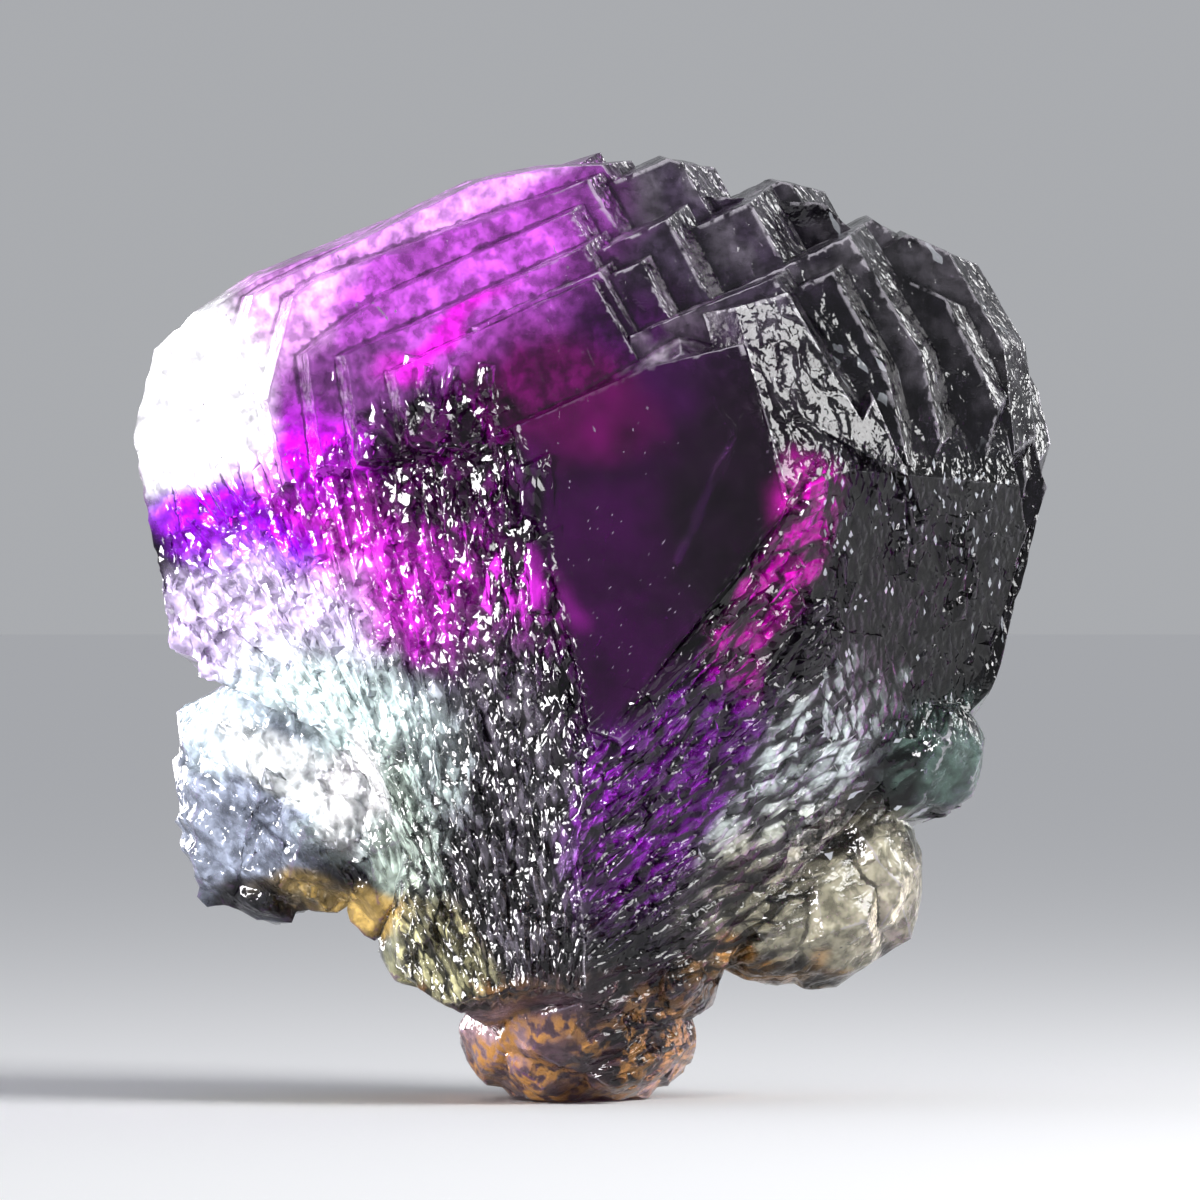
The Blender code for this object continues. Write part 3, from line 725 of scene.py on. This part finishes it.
# The plates' ridges are thin lines: a painted highlight, partly edge wear, on the dark plates, and dark on
# the pink ones; where two plates meet, their grooves get painted shade
plain = calculated("MULTIPLY", calculated("MULTIPLY_ADD", etched, -0.9, 1.0), grainy)
plain = calculated("MULTIPLY", plain, eased(separated(zones.outputs["Color"])[1], 0.35, 0.75, 1.0, 0.12))
wear_and_highlight = calculated("MULTIPLY", eased(grain, 0.36, 0.50), plain)
groove_shade = calculated("MULTIPLY", eased(crest, 0.16, 0.34, 0.80, 0.0), plain)
colour = blended(groove_shade, colour, GROOVE_SHADE_COLOUR)
rim_line_and_highlight = calculated("MULTIPLY", eased(crest, 0.72, 0.88, 0.0, 0.65), wear_and_highlight)
rim_colour = blended(eased(where.outputs["X"], -5 * MM, 0.0), DARK_RIM_COLOUR, RIM_HIGHLIGHT_COLOUR)
colour = blended(rim_line_and_highlight, colour, rim_colour)

# Small specks lie scattered where the stone isn't etched
unetched = calculated("MULTIPLY_ADD", etched, -1.0, 1.0)
specks = calculated("MULTIPLY", eased(cell_number, 0.80, 0.82), eased(from_fine_seed, 0.09, 0.16, 1.0, 0.0))
specks = calculated("MULTIPLY", calculated("MULTIPLY", specks, eased(fine_number, 0.66, 0.70)), unetched)
colour = blended(specks, colour, SPECK_COLOUR)

# Splinters on the dark right side get a painted glint
dark_side = calculated("GREATER_THAN", where.outputs["X"], DARK_SIDE[0] * MM)
painted_glints = calculated("MULTIPLY", eased(fine_number, 0.90, 0.92), calculated("MULTIPLY", dark_side, etched))
painted_glints = calculated("MULTIPLY", painted_glints, eased(cell_number, 0.55, 0.60))
painted_glints = calculated("MULTIPLY", painted_glints, eased(from_fine_seed, 0.45, 0.60, 1.0, 0.0))
colour = blended(painted_glints, colour, PAINTED_GLINT_COLOUR)

# Iron stain: rust that clings to the root in crumbs
crumbs = calculated("MULTIPLY", with_stain.outputs["Z"], eased(grain, 0.44, 0.56))
colour = blended(crumbs, colour, RUST_COLOUR)

# Fine relief in the finish: scales on the etched faces, lower at the dark side, cracks on the silver band,
# and grain everywhere but on the smooth face
scale_height = calculated("MULTIPLY_ADD", cell_number, 0.9, eased(from_seed, 0.15, 0.70, 0.8, 0.0))
scaled_by = calculated("MULTIPLY", etched, calculated("MULTIPLY_ADD", dark_side, -0.5, 1.0))
scaled_by = calculated("MULTIPLY_ADD", cracked, 0.8, scaled_by)
height = calculated("MULTIPLY", scale_height, scaled_by)
height = calculated("MULTIPLY_ADD", grain, grainy, height)
bump = tree.nodes.new("ShaderNodeBump")
bump.inputs["Strength"].default_value = FINISH_STRENGTH
bump.inputs["Distance"].default_value = FINISH_DEPTH
feed(bump.inputs["Height"], height)

feed(shader.inputs["Base Color"], colour)
feed(shader.inputs["Normal"], bump.outputs["Normal"])
feed(shader.inputs["Roughness"], eased(grain, 0.35, 0.7, *ROUGHNESS))
shader.inputs["IOR"].default_value = REFRACTION
shader.inputs["Transmission Weight"].default_value = CLARITY
absorbing = tree.nodes.new("ShaderNodeVolumeAbsorption")
absorbing.inputs["Color"].default_value = LET_THROUGH
absorbing.inputs["Density"].default_value = ABSORPTION
tree.links.new(absorbing.outputs[0], tree.nodes["Material Output"].inputs["Volume"])
fluorite.cycles.homogeneous_volume = True

# The finished stone. Its colours are written before it is raised, while its edges are still clean.
stone_mesh = refined(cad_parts["fluorite"])
coloured(stone_mesh)
raised(stone_mesh)
stone_mesh.shade_smooth()
stone_mesh.set_sharp_from_angle(angle=SHARP_EDGE)
smoothed(stone_mesh)
stone_mesh.materials.append(fluorite)
stone = bpy.data.objects.new("fluorite_crystal", stone_mesh)
bpy.context.scene.collection.objects.link(stone)
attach(stone, "root")
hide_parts("fluorite")

# The floor: one large pale matt sheet that the stone stands on, a hair below its cut.
FLOOR_HALF = 12.0
FLOOR_DROP = 0.0001
floor_mesh = bpy.data.meshes.new("floor")
corners = np.array([(-1, -1, 0), (1, -1, 0), (1, 1, 0), (-1, 1, 0)]) * FLOOR_HALF - (0, 0, FLOOR_DROP)
floor_mesh.from_pydata(corners.tolist(), [], [(0, 1, 2, 3)])
pale_floor = bpy.data.materials.new("pale_floor")
pale_floor.use_nodes = True
pale = pale_floor.node_tree.nodes["Principled BSDF"].inputs
pale["Base Color"].default_value = (0.94, 0.94, 0.95, 1)
pale["Roughness"].default_value = 1.0
pale["Specular IOR Level"].default_value = 0.0
floor_mesh.materials.append(pale_floor)
floor = bpy.data.objects.new("floor", floor_mesh)
bpy.context.scene.collection.objects.link(floor)

# The light: three soft boxes for the stone alone, a strong one at its pale left side in front and two weaker
# ones behind it, and a broad one at its upper right, which makes the silver band shine and lights the floor
# too. The surround is even and pale.
AIM = Vector((0, 0, 0.034))
ROSY = (1.0, 0.98, 1.0)
NEUTRAL = (1.0, 1.0, 1.0)
STONE_ALONE = bpy.data.collections.new("stone_alone")
STONE_ALONE.objects.link(stone)


def soft_box(name, place, width, height, watts, tint):
    """A rectangular lamp that looks at AIM, and that the camera doesn't see."""
    lamp = bpy.data.lights.new(name, "AREA")
    lamp.shape = "RECTANGLE"
    lamp.size = width
    lamp.size_y = height
    lamp.energy = watts
    lamp.color = tint
    box = bpy.data.objects.new(name, lamp)
    box.location = place
    box.rotation_euler = (AIM - Vector(place)).to_track_quat("-Z", "Y").to_euler()
    box.visible_camera = False
    bpy.context.scene.collection.objects.link(box)
    return box


for box in (
    soft_box("left_box", (-0.29, -0.23, 0.13), 0.20, 0.20, 8.0, ROSY),
    soft_box("back_left_box", (-0.22, 0.26, 0.10), 0.20, 0.20, 2.0, ROSY),
    soft_box("back_right_box", (0.38, 0.23, 0.20), 0.16, 0.16, 0.8, NEUTRAL),
):
    box.light_linking.receiver_collection = STONE_ALONE
soft_box("right_box", (0.36, -0.21, 0.23), 0.24, 0.20, 2.4, NEUTRAL)

bpy.context.scene.view_settings.view_transform = "Standard"
surround = bpy.data.worlds.new("surround")
bpy.context.scene.world = surround
surround.use_nodes = True
around = surround.node_tree.nodes["Background"].inputs
around["Color"].default_value = (0.80, 0.82, 0.86, 1)
around["Strength"].default_value = 0.5

# Light that has passed the stone's faces a few times is nearly all absorbed. Four lamps need no light tree.
bpy.context.scene.cycles.max_bounces = 5
bpy.context.scene.cycles.transmission_bounces = 4
bpy.context.scene.cycles.use_light_tree = False

# The camera looks level at the smooth face from far off, through a long lens, and takes in 80 mm.
VIEW_WIDTH = 0.080
LENS = 400
SENSOR = 36
VIEW_HEIGHT = 0.0332
eye = bpy.data.cameras.new("eye")
eye.lens = LENS
eye.sensor_width = SENSOR
camera = bpy.data.objects.new("eye", eye)
camera.location = (0, -VIEW_WIDTH * LENS / SENSOR, VIEW_HEIGHT)
camera.rotation_euler = (math.pi / 2, 0, 0)
bpy.context.scene.collection.objects.link(camera)
bpy.context.scene.camera = camera
